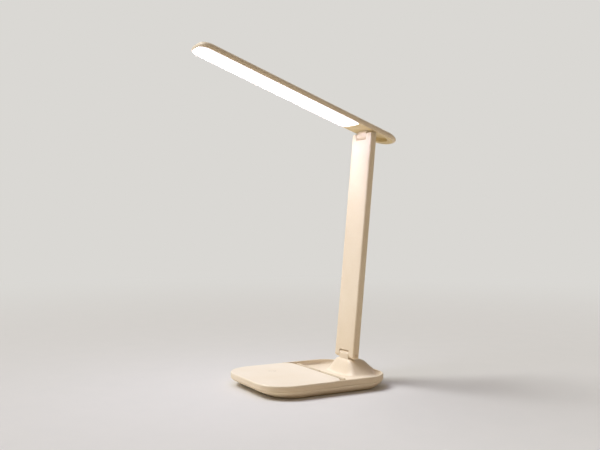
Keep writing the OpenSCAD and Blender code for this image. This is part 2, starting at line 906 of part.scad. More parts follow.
// Outline of the diffuser, grown by a gap
module diffuser_outline(grow) {
    plate_outline(head_w / 2 - lip_t - fit + grow, -head_front + lip_t + fit - grow, -diffuser_rear + grow,
        head_front_r - lip_t - fit + grow, diffuser_rear_r + grow);
}

// Light bar shell: the top and sides in one moulding, open below
module head_shell() {
    inner = head_w / 2 - head_wall;
    color(cream)
        in_head()
            union() {
                difference() {
                    head_form();
                    slab(head_w / 2, -head_front, head_back - tail_under_in, head_front_r, head_tail_r,
                        -over, shoulder_z + over, lip_t);
                    slab(inner, -head_front + head_wall, head_back - tail_under_in - head_wall,
                        head_front_r - head_wall, head_tail_r - head_wall, -over, cavity_step_z + over);
                    slab(inner, -head_front + head_wall, head_back - tail_under_in - head_wall,
                        head_front_r - head_wall, head_tail_r - head_wall, cavity_step_z - over,
                        head_cavity_z - cavity_step_z + over, head_wall);
                }
                for (p = knuckle_screw_places)
                    translate([p[0], p[1], foot_top_z])
                        difference() {
                            cylinder(d = knuckle_boss_d, h = head_cavity_z - foot_top_z + fit,
                                $fn = small_fn);
                            translate([0, 0, -over])
                                cylinder(d = small_screw_d + fit, h = head_cavity_z - foot_top_z + over,
                                    $fn = small_fn);
                        }
            }
}

knuckle_screw_places = [for (sx = [-1, 1]) for (y = [-knuckle_screw_front, knuckle_screw_rear])
    [sx * knuckle_screw_x, y]];

// Outline of the shallow finger recess under the tail
module recess_outline(grow) {
    half = recess_w / 2 + grow;
    intersection() {
        plate_outline(half, -recess_rear, recess_rear + grow, recess_r, recess_r + grow);
        translate([-half, recess_front - grow])
            square([2 * half, recess_rear - recess_front + 2 * grow]);
    }
}

// Tail cover: closes the light bar behind the diffuser, with the knuckle's opening
module tail_cover() {
    color(cream_shade)
        in_head()
            difference() {
                union() {
                    difference() {
                        slab(head_w / 2 - lip_t - fit, -diffuser_rear - diffuser_rear_r - lip_t,
                            head_back - tail_under_in - lip_t - fit,
                            fit, head_tail_r - lip_t - fit, 0, diffuser_t);
                        translate([0, 0, -over])
                            linear_extrude(diffuser_t + 2 * over)
                                diffuser_outline(fit);
                    }
                    linear_extrude(recess_d + recess_wall)
                        recess_outline(recess_wall);
                }
                translate([0, 0, -over])
                    linear_extrude(recess_d + over)
                        recess_outline(0);
                box([-knuckle_w / 2 - post_fit, -ear_r - post_fit, -over],
                    [knuckle_w / 2 + post_fit, ear_r + post_fit, foot_z]);
            }
}

// Head knuckle: the cast lug between the stem's upper ears, with its foot in the light bar
module head_knuckle() {
    color(cream)
        in_head()
            difference() {
                union() {
                    translate([0, 0, -under_z])
                        rod_x(2 * ear_r, -knuckle_w / 2, knuckle_w / 2);
                    box([-knuckle_w / 2, -ear_r, -under_z], [knuckle_w / 2, ear_r, foot_z + foot_plate_t]);
                    box([-foot_plate_w / 2, -foot_plate_front, foot_z],
                        [foot_plate_w / 2, foot_plate_rear, foot_z + foot_plate_t]);
                }
                translate([0, 0, -under_z])
                    rod_x(pin_d + 2 * pin_fit, -knuckle_w / 2 - over, knuckle_w / 2 + over);
                for (p = knuckle_screw_places)
                    translate([p[0], p[1], foot_z - over])
                        cylinder(d = small_screw_d + 2 * fit, h = foot_plate_t + 2 * over, $fn = small_fn);
            }
}

// Four screws that hold the knuckle's foot to the light bar shell
module knuckle_screws() {
    color(steel)
        in_head()
            for (p = knuckle_screw_places)
                translate([p[0], p[1], foot_z])
                    screw(small_screw_d, head_cavity_z - foot_z - fit, small_head_d, small_head_t);
}

// Diffuser: the opal panel flush with the underside
module diffuser() {
    color(opal)
        in_head()
            linear_extrude(diffuser_t)
                diffuser_outline(0);
}

guide_half = head_w / 2 - head_wall - strip_t - led_t - 3 * fit;
guide_front = -head_front + head_front_r;
guide_rear = -diffuser_rear - guide_end_gap;

// Light guide: the clear acrylic plate between the two strips
module light_guide() {
    color(acrylic)
        in_head()
            box([-guide_half, guide_front, guide_z], [guide_half, guide_rear, guide_z + guide_t]);
}

// Reflector sheet: the white film above the light guide
module reflector_sheet() {
    color(board_white)
        in_head()
            box([-guide_half, guide_front, reflector_z], [guide_half, guide_rear, reflector_z + reflector_t]);
}

// Two strips that carry the light-emitting diodes along both sides
module led_strips() {
    x = head_w / 2 - head_wall - fit - strip_t;
    color(board_white)
        in_head()
            for (side = [0, 1])
                mirror([side, 0, 0])
                    box([x, guide_front, guide_z], [x + strip_t, guide_rear, guide_z + strip_h]);
}

// The light-emitting diodes, in an even row on each strip
module leds() {
    x = head_w / 2 - head_wall - fit - strip_t - led_t;
    z = guide_z + (strip_h - led_h) / 2;
    pitch = (guide_rear - guide_front) / led_count;
    color(phosphor)
        in_head()
            for (side = [0, 1])
                mirror([side, 0, 0])
                    for (k = [0:led_count - 1])
                        translate([x, guide_front + (k + 0.5) * pitch - led_w / 2, z])
                            cube([led_t, led_w, led_h]);
}

// Head wire: the pair of leads from the knuckle to the two strips
module head_wire() {
    x = head_w / 2 - head_wall - fit - strip_t / 2;
    z = guide_z + strip_h - lead_d / 2;
    y = guide_rear + lead_d / 2 + fit;
    y_end = -foot_plate_front - lead_d / 2 - fit;
    color(wire_white)
        in_head()
            for (side = [0, 1])
                mirror([side, 0, 0])
                    union() {
                        translate([x - strip_t / 2, y, z])
                            rotate([0, -90, 0])
                                cylinder(d = lead_d, h = x - strip_t / 2 - ribbon_w, $fn = small_fn);
                        translate([ribbon_w, y, z])
                            sphere(d = lead_d, $fn = small_fn);
                        translate([ribbon_w, y, z])
                            rotate([-90, 0, 0])
                                cylinder(d = lead_d, h = y_end - y, $fn = small_fn);
                    }
}

lower_housing();
upper_housing();
touch_plate();
touch_sensor();
stop_ribs();
anti_slip_pad();
counterweight();
battery();
control_board();
board_parts();
usb_board();
usb_socket();
housing_screws();
hinge_post();
post_screws();
base_wire();
base_hinge_pin();
base_washers();
base_pin_caps();
stem_shell();
stem_rear_cover();
stem_spine();
spine_screws();
stem_wire();
head_hinge_pin();
head_washers();
head_pin_caps();
head_shell();
tail_cover();
head_knuckle();
knuckle_screws();
diffuser();
light_guide();
reflector_sheet();
led_strips();
leds();
head_wire();
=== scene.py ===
# %% [markdown]
# # A folding LED desk lamp
# The lamp is three moulded plastic bodies on two friction hinges: a low base with a
# touch plate in front and a sunken trough behind it, a flat stem, and a slim light bar.
# The rigid frame already exists as solids. This notebook puts finished surfaces over the
# parts that show, gives every part its material, and lights it like a product photograph.

# %% Load the frame
import json
import math

import bmesh
import bpy
import numpy as np
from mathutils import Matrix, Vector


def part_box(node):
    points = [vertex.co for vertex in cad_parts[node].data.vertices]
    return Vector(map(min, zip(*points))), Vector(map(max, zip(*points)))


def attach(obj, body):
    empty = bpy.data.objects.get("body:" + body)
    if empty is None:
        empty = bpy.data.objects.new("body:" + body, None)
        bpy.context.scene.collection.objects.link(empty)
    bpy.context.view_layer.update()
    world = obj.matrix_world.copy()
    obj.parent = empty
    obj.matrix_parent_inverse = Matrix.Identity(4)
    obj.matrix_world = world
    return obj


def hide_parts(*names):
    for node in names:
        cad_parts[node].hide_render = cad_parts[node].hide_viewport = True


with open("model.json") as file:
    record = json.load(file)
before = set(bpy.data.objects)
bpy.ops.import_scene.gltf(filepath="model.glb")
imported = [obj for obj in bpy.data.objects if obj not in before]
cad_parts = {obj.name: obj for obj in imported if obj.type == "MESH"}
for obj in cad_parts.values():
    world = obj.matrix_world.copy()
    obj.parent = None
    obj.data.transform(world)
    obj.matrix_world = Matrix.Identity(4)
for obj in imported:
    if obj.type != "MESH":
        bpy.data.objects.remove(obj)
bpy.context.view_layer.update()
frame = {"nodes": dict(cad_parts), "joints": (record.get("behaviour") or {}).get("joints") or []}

# %% [markdown]
# ## Camera
# The lamp was photographed from its right and a little in front, from the height of the
# middle of the stem, with a level camera. A level camera keeps upright edges upright, so
# only its place, its heading and its lens have to be set.

# %% Camera
mm = 0.001
heading = math.radians(60.79)
camera_place = (669.1 * mm, -381.3 * mm, 161.9 * mm)
camera_lens = 45.62

camera_data = bpy.data.cameras.new("camera")
camera_data.lens = camera_lens
camera_data.sensor_width = 36
camera = bpy.data.objects.new("camera", camera_data)
camera.location = camera_place
camera.rotation_euler = (math.pi / 2, 0, heading)
bpy.context.scene.collection.objects.link(camera)
bpy.context.scene.camera = camera
print("camera at", camera_place, "m")

# %% [markdown]
# ## Measurements from the frame
# Every new surface takes its size from the solid that it covers, so that nothing drifts
# away from the hinges and seams. The light bar is tilted, so it gets a frame of its own:
# y runs along it towards the tail, and z is the height above its underside.

# %% Measurements
low = {name: np.array(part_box(name)[0]) for name in frame["nodes"]}
high = {name: np.array(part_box(name)[1]) for name in frame["nodes"]}
pivot = {joint["name"]: np.array(joint["pos_m"]) for joint in frame["joints"]}

half_w = high["upper_housing"][0]
front_y = low["touch_plate"][1]
plate_rear_y = high["touch_plate"][1]
rear_y = high["upper_housing"][1]
foot_z = high["anti_slip_pad"][2]
seam_z = high["lower_housing"][2]
seat_z = low["touch_plate"][2]
rim_z = high["touch_plate"][2]
trough_z = low["stop_ribs"][2]
base_axis = pivot["stem_fold"]
head_axis = pivot["head_fold"]

bar_tilt = math.radians(19.28)
bar_under = 4.9 * mm
bar_half = high["head_shell"][0]


def place_on_bar(points):
    """Turns points of the light bar's own frame by its tilt about X and moves them to the hinge."""
    y, z = points[..., 1], points[..., 2] + bar_under
    cos, sin = math.cos(bar_tilt), math.sin(bar_tilt)
    return np.stack([points[..., 0], y * cos + z * sin, z * cos - y * sin], -1) + head_axis


print("base", round(2 * half_w / mm, 1), "x", round((rear_y - front_y) / mm, 1), "mm")

# %% [markdown]
# ## Helpers for surfaces
# A moulded shell is a stack of rings: the outline of the part, drawn in a little at each
# level. An outline here is a rectangle with a quarter circle at each corner, so a ring
# is five numbers, and a whole shell is five columns of numbers and a column of heights.
# The rings are worked out as arrays and skinned with quads, and both ends are closed.
# A shape is its points and its faces, until it becomes an object.

# %% Surface helpers
def outline(half, y_front, y_rear, r_front, r_rear, steps=18):
    """Rings of points: corner centre + r (cos a, sin a), four quarter turns, counter-clockwise."""
    values = np.broadcast_arrays(*[np.atleast_1d(v) for v in (half, y_front, y_rear, r_front, r_rear)])
    half, y_front, y_rear, r_front, r_rear = [v[:, None] for v in values]
    turn = np.linspace(0, np.pi / 2, steps)[None, :]
    corners = []
    for quarter, side, rear in ((-1, 1, False), (0, 1, True), (1, -1, True), (2, -1, False)):
        angle = quarter * np.pi / 2 + turn
        r = r_rear if rear else r_front
        centre_y = y_rear - r if rear else y_front + r
        corners.append(np.stack([side * (half - r) + r * np.cos(angle), centre_y + r * np.sin(angle)], -1))
    return np.concatenate(corners, 1)


def rings_at(flat, z):
    """Lifts flat rings to one height each."""
    z = np.broadcast_to(np.atleast_1d(z)[:, None], flat.shape[:2])
    return np.dstack([flat, z])


def skin(rings):
    """Quads from ring to ring, and a flat face over the first and the last ring."""
    count, around = rings.shape[:2]
    index = np.arange(count * around).reshape(count, around)
    ahead = np.roll(index, -1, axis=1)
    quads = np.stack([index[:-1], ahead[:-1], ahead[1:], index[1:]], -1).reshape(-1, 4)
    faces = quads.tolist() + [index[0, ::-1].tolist(), index[-1].tolist()]
    return rings.reshape(-1, 3), faces


def block(x, y, top, bottom):
    """A closed block over a grid: its top and bottom are heights on the grid, its sides join them."""
    rows, columns = top.shape
    grid_x, grid_y = np.meshgrid(x, y)
    points = np.concatenate([np.dstack([grid_x, grid_y, top]).reshape(-1, 3),
                             np.dstack([grid_x, grid_y, bottom]).reshape(-1, 3)])
    index = np.arange(rows * columns).reshape(rows, columns)
    cells = np.stack([index[:-1, :-1], index[:-1, 1:], index[1:, 1:], index[1:, :-1]], -1).reshape(-1, 4)
    edge = np.concatenate([index[0, :-1], index[:-1, -1], index[-1, :0:-1], index[:0:-1, 0]])
    ahead, under = np.roll(edge, -1), rows * columns
    sides = np.stack([edge + under, ahead + under, ahead, edge], -1)
    return points, np.concatenate([cells, cells[:, ::-1] + under, sides]).tolist()


def arc(start, end, steps=7):
    """Sine and cosine along an arc, for rounded edges in a profile."""
    angle = np.radians(np.linspace(start, end, steps))
    return np.sin(angle), np.cos(angle)


print("shapes can be made by:", [f.__name__ for f in (outline, rings_at, skin, block, arc)])

# %% [markdown]
# ## Helpers for objects
# Shapes are joined and cut as solids before they are shaded. A solid whose form is right
# already is copied and gets a small bevel instead. Every finished piece is then tied to
# its body, and the solids that it covers are hidden.

# %% Object helpers
same_place = 0.002 * mm
same_plane = math.radians(0.5)


def mesh_object(name, shape):
    """An object at the origin from points and faces."""
    mesh = bpy.data.meshes.new(name)
    mesh.from_pydata(shape[0].tolist(), [], shape[1])
    mesh.validate()
    piece = bpy.data.objects.new(name, mesh)
    bpy.context.scene.collection.objects.link(piece)
    return piece


def combine(piece, *others):
    """Joins or cuts closed shapes into the piece, in order, and removes them: pairs of mode and shape."""
    tools = []
    for mode, shape in others:
        tool = mesh_object("tool", shape)
        step = piece.modifiers.new(mode, "BOOLEAN")
        step.operation, step.object, step.solver = mode, tool, "EXACT"
        tools.append(tool)
    ready = piece.evaluated_get(bpy.context.evaluated_depsgraph_get())
    mesh = bpy.data.meshes.new_from_object(ready)
    piece.modifiers.clear()
    piece.data = mesh
    for tool in tools:
        bpy.data.objects.remove(tool)
    return piece


def smooth(piece, degrees=32):
    """Smooth shading that keeps every edge sharper than this angle crisp."""
    with bpy.context.temp_override(object=piece, active_object=piece, selected_objects=[piece],
                                   selected_editable_objects=[piece]):
        bpy.ops.object.shade_smooth_by_angle(angle=math.radians(degrees))
    return piece


def softened(node, width, name=None, degrees=32):
    """A merged copy of a solid, with each edge sharper than the angle rounded by a small bevel."""
    mesh = frame["nodes"][node].data.copy()
    shape = bmesh.new()
    shape.from_mesh(mesh)
    bmesh.ops.remove_doubles(shape, verts=shape.verts, dist=same_place)
    bmesh.ops.dissolve_limit(shape, angle_limit=same_plane, verts=shape.verts, edges=shape.edges)
    shape.to_mesh(mesh)
    shape.free()
    piece = bpy.data.objects.new(name or node + "_finished", mesh)
    bpy.context.scene.collection.objects.link(piece)
    mesh.shade_smooth()
    bevel = piece.modifiers.new("rounded edges", "BEVEL")
    bevel.width, bevel.segments, bevel.limit_method = width, 2, "ANGLE"
    bevel.angle_limit, bevel.harden_normals = math.radians(degrees), True
    return piece


def dress(piece, body, material, slot, *stands_for):
    """Gives a piece its body, its material and the solids that it covers; the slot is not used."""
    piece.data.materials.clear()
    piece.data.materials.append(material)
    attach(piece, body)
    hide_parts(*stands_for)
    print(piece.name, len(piece.data.polygons), "faces")
    return piece


print("objects can be made by:", [f.__name__ for f in (mesh_object, combine, smooth, softened, dress)])

# %% [markdown]
# ## Helpers for materials
# Colours are written as the hex values that a picture shows, and turned to the linear
# values that the renderer needs. One function adds a node with its values and links.
# Pattern sizes are given in millimetres: a noise texture repeats about once per unit at
# scale 1, so a grain of g mm needs a scale of 1000 / g.

# %% Material helpers
def linear(hex_colour):
    """sRGB to linear: s / 12.92 near black, else ((s + 0.055) / 1.055) to the power 2.4."""
    s = np.array([int(hex_colour[i:i + 2], 16) for i in (1, 3, 5)]) / 255
    return (*np.where(s <= 0.04045, s / 12.92, ((s + 0.055) / 1.055) ** 2.4).tolist(), 1.0)


def per_mm(size):
    """The texture scale that gives a pattern this size in millimetres."""
    return 1000 / size


def add(tree, kind, inputs=None, **settings):
    """Adds a node. Inputs are values or other nodes' outputs, by the socket's name or number."""
    node = tree.nodes.new(kind)
    for key, value in settings.items():
        setattr(node, key, value)
    for key, value in (inputs or {}).items():
        if isinstance(value, bpy.types.NodeSocket):
            tree.links.new(value, node.inputs[key])
        else:
            node.inputs[key].default_value = value
    return node


def start_material(name, **values):
    """A material with one Principled surface. Gives the material, its tree, the surface and the place."""
    material = bpy.data.materials.new(name)
    material.use_nodes = True
    tree = material.node_tree
    tree.nodes.clear()
    inputs = {key.replace("_", " "): value for key, value in values.items()}
    surface = add(tree, "ShaderNodeBsdfPrincipled", inputs)
    add(tree, "ShaderNodeOutputMaterial", {"Surface": surface.outputs[0]})
    place = add(tree, "ShaderNodeTexCoord").outputs["Object"]
    return material, tree, surface, place


print("materials can be made by:", [f.__name__ for f in (linear, per_mm, add, start_material)])

# %% [markdown]
# ## Moulded ABS
# The housings are cream ABS, moulded in a spark-eroded tool. The tool leaves a fine even
# grain, which scatters highlights into a satin sheen. Large mouldings also vary a little
# in tone where the melt cooled at different speeds, and handling polishes them in patches.
# The real grain is about 0.1 mm: it is drawn at 0.45 mm, so that a close view still holds it.
# The mouldings differ slightly in tone and gloss: the rear panels are a little darker and more matt, the
# lower housing is paler as painted bounce light on its chamfer, and the tail cover is yellower as painted
# warm light on the bar's underside.

# %% Moulded ABS
def moulded_abs(name, pale, deep, roughness, grain=0.45, depth=0.03):
    """Tone by broad noise, fine flecks, roughness by smudge-sized noise, grain as a bump."""
    material, tree, surface, place = start_material(name, IOR=1.53)
    broad = add(tree, "ShaderNodeTexNoise", {"Vector": place, "Scale": per_mm(70), "Detail": 3.0})
    fleck = add(tree, "ShaderNodeTexNoise", {"Vector": place, "Scale": per_mm(2.2), "Detail": 2.0})
    tone = add(tree, "ShaderNodeMath", {0: fleck.outputs["Fac"], 1: 0.25, 2: broad.outputs["Fac"]},
               operation="MULTIPLY_ADD")
    mix = add(tree, "ShaderNodeMapRange", {"Value": tone.outputs[0], "From Min": 0.42, "From Max": 0.82})
    colour = add(tree, "ShaderNodeMix", {"Factor": mix.outputs[0], 6: linear(pale), 7: linear(deep)},
                 data_type="RGBA")
    tree.links.new(colour.outputs[2], surface.inputs["Base Color"])
    smudge = add(tree, "ShaderNodeTexNoise", {"Vector": place, "Scale": per_mm(16), "Detail": 4.0})
    rough = add(tree, "ShaderNodeMapRange", {"Value": smudge.outputs["Fac"], "From Min": 0.3, "From Max": 0.7,
                                             "To Min": roughness - 0.04, "To Max": roughness + 0.05})
    tree.links.new(rough.outputs[0], surface.inputs["Roughness"])
    pores = add(tree, "ShaderNodeTexNoise", {"Vector": place, "Scale": per_mm(grain), "Detail": 2.0})
    bump = add(tree, "ShaderNodeBump", {"Height": pores.outputs["Fac"], "Distance": depth * mm})
    tree.links.new(bump.outputs[0], surface.inputs["Normal"])
    return material, tree, surface, place


cream_abs = moulded_abs("cream moulded ABS", "#F4E8D4", "#EBDCC3", 0.42)[0]
shade_abs = moulded_abs("cream moulded ABS, matt rear panels", "#E9DAC0", "#DDCBAD", 0.55)[0]
# Paler than the other mouldings: painted bounce light on the lower chamfer.
painted_bounce_hull_abs = moulded_abs("cream moulded ABS, lower housing", "#FAF1E1", "#F3E7D3", 0.48)[0]
# Yellower than the other mouldings: painted warm light on the bar's underside.
painted_warm_light_tail_abs = moulded_abs("cream moulded ABS, tail cover", "#EBDDBA", "#E0CFA2", 0.5)[0]
print("moulded ABS:", [m.name for m in (cream_abs, shade_abs, painted_bounce_hull_abs, painted_warm_light_tail_abs)])

# %% [markdown]
# The touch plate is the same ABS with a finer polish, and a faint printed ring and bar
# shows where to touch. A print this thin has no height, so it is only a change of colour:
# the distance from the ring's centre picks the ring, and two limits pick the bar.

# %% Touch plate material
mark_x = (low["touch_sensor"][0] + high["touch_sensor"][0]) / 2
mark_y = (low["touch_sensor"][1] + high["touch_sensor"][1]) / 2
mark_r = 3.6 * mm
mark_line = 0.35 * mm


def print_touch_mark(tree, surface, place):
    """Ring, open at the top: | distance - r | < line. Bar: | x | < line and y from r / 4 to 5 r / 4."""
    parts = add(tree, "ShaderNodeSeparateXYZ", {0: place})
    x = add(tree, "ShaderNodeMath", {0: parts.outputs[0], 1: mark_x}, operation="SUBTRACT").outputs[0]
    y = add(tree, "ShaderNodeMath", {0: parts.outputs[1], 1: mark_y}, operation="SUBTRACT").outputs[0]
    flat = add(tree, "ShaderNodeCombineXYZ", {0: x, 1: y})
    distance = add(tree, "ShaderNodeVectorMath", {0: flat.outputs[0]}, operation="LENGTH").outputs["Value"]
    ring = add(tree, "ShaderNodeMath", {0: distance, 1: mark_r, 2: mark_line}, operation="COMPARE").outputs[0]
    bar_x = add(tree, "ShaderNodeMath", {0: x, 1: 0.0, 2: mark_line}, operation="COMPARE").outputs[0]
    bar_y = add(tree, "ShaderNodeMath", {0: y, 1: 0.75 * mark_r, 2: mark_r / 2},
                operation="COMPARE").outputs[0]
    bar = add(tree, "ShaderNodeMath", {0: bar_x, 1: bar_y}, operation="MULTIPLY").outputs[0]
    gap = add(tree, "ShaderNodeMath", {0: x, 1: 0.0, 2: 3 * mark_line}, operation="COMPARE").outputs[0]
    upper = add(tree, "ShaderNodeMath", {0: y, 1: 0.0}, operation="GREATER_THAN").outputs[0]
    opening = add(tree, "ShaderNodeMath", {0: gap, 1: upper}, operation="MULTIPLY").outputs[0]
    ring = add(tree, "ShaderNodeMath", {0: ring, 1: opening}, operation="SUBTRACT", use_clamp=True).outputs[0]
    mark = add(tree, "ShaderNodeMath", {0: ring, 1: bar}, operation="MAXIMUM").outputs[0]
    plain = surface.inputs["Base Color"].links[0].from_socket
    colour = add(tree, "ShaderNodeMix", {"Factor": mark, 6: plain, 7: linear("#D3C8B6")}, data_type="RGBA")
    tree.links.new(colour.outputs[2], surface.inputs["Base Color"])


plate_abs, plate_tree, plate_surface, plate_place = moulded_abs(
    "cream moulded ABS, touch plate", "#F5EAD8", "#EFE2CC", 0.36, grain=0.4, depth=0.022)
print_touch_mark(plate_tree, plate_surface, plate_place)
print("touch mark at", round(mark_x / mm, 1), round(mark_y / mm, 1), "mm")

# %% [markdown]
# ## Painted zinc, silicone and steel
# The two hinge knuckles are cast zinc, sprayed to match the plastic, and spray paint dries
# with a faint orange peel. The stop ribs and the pad under the base are silicone, which is
# matt and a little darker. Pins, washers and screws are nickel-plated steel, turned or
# rolled, so their fine lines run round or along them.

# %% Painted zinc, silicone and steel
def sprayed_zinc(name, pale, deep):
    """Colour by soft noise, and orange peel as a shallow bump under a thin clear coat."""
    material, tree, surface, place = start_material(name, Roughness=0.4, Coat_Weight=0.25, Coat_Roughness=0.2)
    cloud = add(tree, "ShaderNodeTexNoise", {"Vector": place, "Scale": per_mm(9), "Detail": 2.0})
    colour = add(tree, "ShaderNodeMix", {"Factor": cloud.outputs["Fac"], 6: linear(pale), 7: linear(deep)},
                 data_type="RGBA")
    tree.links.new(colour.outputs[2], surface.inputs["Base Color"])
    peel = add(tree, "ShaderNodeTexNoise", {"Vector": place, "Scale": per_mm(1.4), "Detail": 1.0})
    bump = add(tree, "ShaderNodeBump", {"Height": peel.outputs["Fac"], "Distance": 0.02 * mm})
    tree.links.new(bump.outputs[0], surface.inputs["Normal"])
    return material


def silicone_rubber(name, pale, deep):
    """Matt rubber: fine noise in colour and in the bump."""
    material, tree, surface, place = start_material(name, Roughness=0.72, IOR=1.43)
    dust = add(tree, "ShaderNodeTexNoise", {"Vector": place, "Scale": per_mm(1.1), "Detail": 4.0})
    colour = add(tree, "ShaderNodeMix", {"Factor": dust.outputs["Fac"], 6: linear(pale), 7: linear(deep)},
                 data_type="RGBA")
    tree.links.new(colour.outputs[2], surface.inputs["Base Color"])
    bump = add(tree, "ShaderNodeBump", {"Height": dust.outputs["Fac"], "Distance": 0.03 * mm})
    tree.links.new(bump.outputs[0], surface.inputs["Normal"])
    return material


def drawn_metal(name, pale, deep, roughness, stretch):
    """Metal with fine lines: noise pressed flat along the axes with a large stretch."""
    material, tree, surface, place = start_material(name, Metallic=1.0)
    lines = add(tree, "ShaderNodeMapping", {"Vector": place, "Scale": stretch})
    noise = add(tree, "ShaderNodeTexNoise", {"Vector": lines.outputs[0], "Scale": per_mm(2), "Detail": 3.0})
    colour = add(tree, "ShaderNodeMix", {"Factor": noise.outputs["Fac"], 6: linear(pale), 7: linear(deep)},
                 data_type="RGBA")
    tree.links.new(colour.outputs[2], surface.inputs["Base Color"])
    rough = add(tree, "ShaderNodeMapRange", {"Value": noise.outputs["Fac"], "To Min": roughness - 0.08,
                                             "To Max": roughness + 0.08})
    tree.links.new(rough.outputs[0], surface.inputs["Roughness"])
    bump = add(tree, "ShaderNodeBump", {"Height": noise.outputs["Fac"], "Distance": 0.01 * mm})
    tree.links.new(bump.outputs[0], surface.inputs["Normal"])
    return material


cream_zinc = sprayed_zinc("cream sprayed zinc casting", "#F1E4CF", "#E8D8BE")
rib_silicone = silicone_rubber("cream silicone ribs", "#DCCFB8", "#CDBEA4")
pad_silicone = silicone_rubber("sand silicone pad", "#C9B99C", "#B9A888")
nickel_steel = drawn_metal("nickel-plated turned steel", "#C9CBCC", "#A9ABAD", 0.3, (8, 1, 1))
rolled_steel = drawn_metal("zinc-plated rolled steel sheet", "#B9BDC2", "#9398A0", 0.42, (1, 12, 12))
print("zinc, silicone and steel ready")

# %% [markdown]
# ## Opal acrylic, lit from its edges
# The panel under the light bar is opal acrylic over an edge-lit light guide. It glows
# evenly, in a cool white, and is far brighter than anything round it, so the picture shows
# it as plain white. It lights the top of the stem and the touch plate with its full
# strength, but the camera sees it only just above white, so that its edge stays clean.

# %% Opal diffuser
opal_acrylic, opal_tree, opal_surface, opal_place = start_material(
    "opal acrylic diffuser, lit", Roughness=0.35, IOR=1.49,
    Emission_Color=linear("#E4E1FF"))
full_glow, seen_glow = 10.6, 1.35
to_camera = add(opal_tree, "ShaderNodeLightPath").outputs["Is Camera Ray"]
panel_glow = add(opal_tree, "ShaderNodeMapRange", {"Value": to_camera, "To Min": full_glow,
                                                   "To Max": seen_glow})
opal_tree.links.new(panel_glow.outputs[0], opal_surface.inputs["Emission Strength"])
frost = add(opal_tree, "ShaderNodeTexNoise", {"Vector": opal_place, "Scale": per_mm(1.2), "Detail": 2.0})
opal_colour = add(opal_tree, "ShaderNodeMix", {"Factor": frost.outputs["Fac"], 6: linear("#FFFDF8"),
                                               7: linear("#F6F0E4")}, data_type="RGBA")
opal_tree.links.new(opal_colour.outputs[2], opal_surface.inputs["Base Color"])
frost_bump = add(opal_tree, "ShaderNodeBump", {"Height": frost.outputs["Fac"], "Distance": 0.01 * mm})
opal_tree.links.new(frost_bump.outputs[0], opal_surface.inputs["Normal"])
print("opal acrylic ready, glow", full_glow)

# %% [markdown]
# ## Lower housing
# Below the seam the base draws in like a boat's hull, so that it seems to float. The
# profile is a straight chamfer from the flat bottom that turns upright below the seam.
# The chamfer is longest at the front, so each ring has its own inset for side, front and
# rear: a share of the chamfer's full reach, which the pad under it gives.

# %% Lower housing
front_r, rear_r = 30 * mm, 28 * mm
pad_margin = 1.5 * mm
reach_side = half_w - high["anti_slip_pad"][0] - pad_margin
reach_front = low["anti_slip_pad"][1] - pad_margin - front_y
reach_rear = rear_y - high["anti_slip_pad"][1] - pad_margin

toe_z, toe_share = 0.7 * mm, 0.06
bottom_share = 1.12
chamfer_end = 5.2 * mm
chamfer_fall = 5.8 * mm
bend_share, bend_z = 0.13, 6.2 * mm
upright_share, upright_gap = 0.03, 0.3 * mm
seam_share = 0.12


def bend(start, towards, end, steps=9):
    """A curve from start to end that leans towards a third value: (1 - t)^2 a + 2 t (1 - t) b + t^2 c."""
    t = np.linspace(0, 1, steps)
    return (1 - t) ** 2 * start + 2 * (1 - t) * t * towards + t ** 2 * end


sine, cosine = arc(0, 90, 5)
chamfer_z = np.linspace(foot_z + toe_z, chamfer_end, 6)
chamfer_share = 1 - (chamfer_z - foot_z) / chamfer_fall
hull_share = np.concatenate([[bottom_share], 1 + toe_share * (1 - sine), chamfer_share[1:],
                             bend(chamfer_share[-1], bend_share, upright_share)[1:], [seam_share]])
hull_z = np.concatenate([[foot_z], foot_z + toe_z * (1 - cosine), chamfer_z[1:],
                         bend(chamfer_z[-1], bend_z, seam_z - upright_gap)[1:], [seam_z]])
hull_rings = rings_at(outline(half_w - reach_side * hull_share, front_y + reach_front * hull_share,
                              rear_y - reach_rear * hull_share, front_r - reach_side * hull_share,
                              rear_r - reach_side * hull_share), hull_z)
lower_shell = smooth(mesh_object("lower_shell", skin(hull_rings)))
# The lower housing's paler ABS is painted bounce light on its chamfer.
dress(lower_shell, "base", painted_bounce_hull_abs, "cream_shade", "lower_housing")

# %% [markdown]
# ## Upper housing: band, rim and trough
# The band, its rounded rim and the trough are one stack of rings: up the side, over the
# rim, and down a slope that is steep at the sides and long at the rear. Across the slope
# the profile is a superellipse, so it leaves the rim upright and meets the floor flat.

# %% Band, rim and trough
rim_w = 2.2 * mm
rim_round = 1.0 * mm
inner_round = 0.5 * mm
wall_run = 1.6 * mm
ramp_run = 4.8 * mm
ramp_power = 2.2
deck_z = trough_z - 1.6 * mm
deck_in = 3 * mm
band_toe = 0.35 * mm
rim_flat_in = rim_w - inner_round - 0.3 * mm
pocket_y = plate_rear_y - 17 * mm
pocket_r = 2.5 * mm
floor_side, floor_rear, floor_front = 8 * mm, 12 * mm, 4 * mm

sine, cosine = arc(0, 90, 7)
outer_in = np.concatenate([[deck_in, deck_in, band_toe, 0], rim_round * (1 - cosine), [rim_flat_in]])
outer_z = np.concatenate([[deck_z, seam_z, seam_z, seam_z + band_toe],
                          rim_z - rim_round * (1 - sine), [rim_z]])
outer = rings_at(outline(half_w - outer_in, front_y + outer_in, rear_y - outer_in,
                         front_r - outer_in, rear_r - outer_in), outer_z)

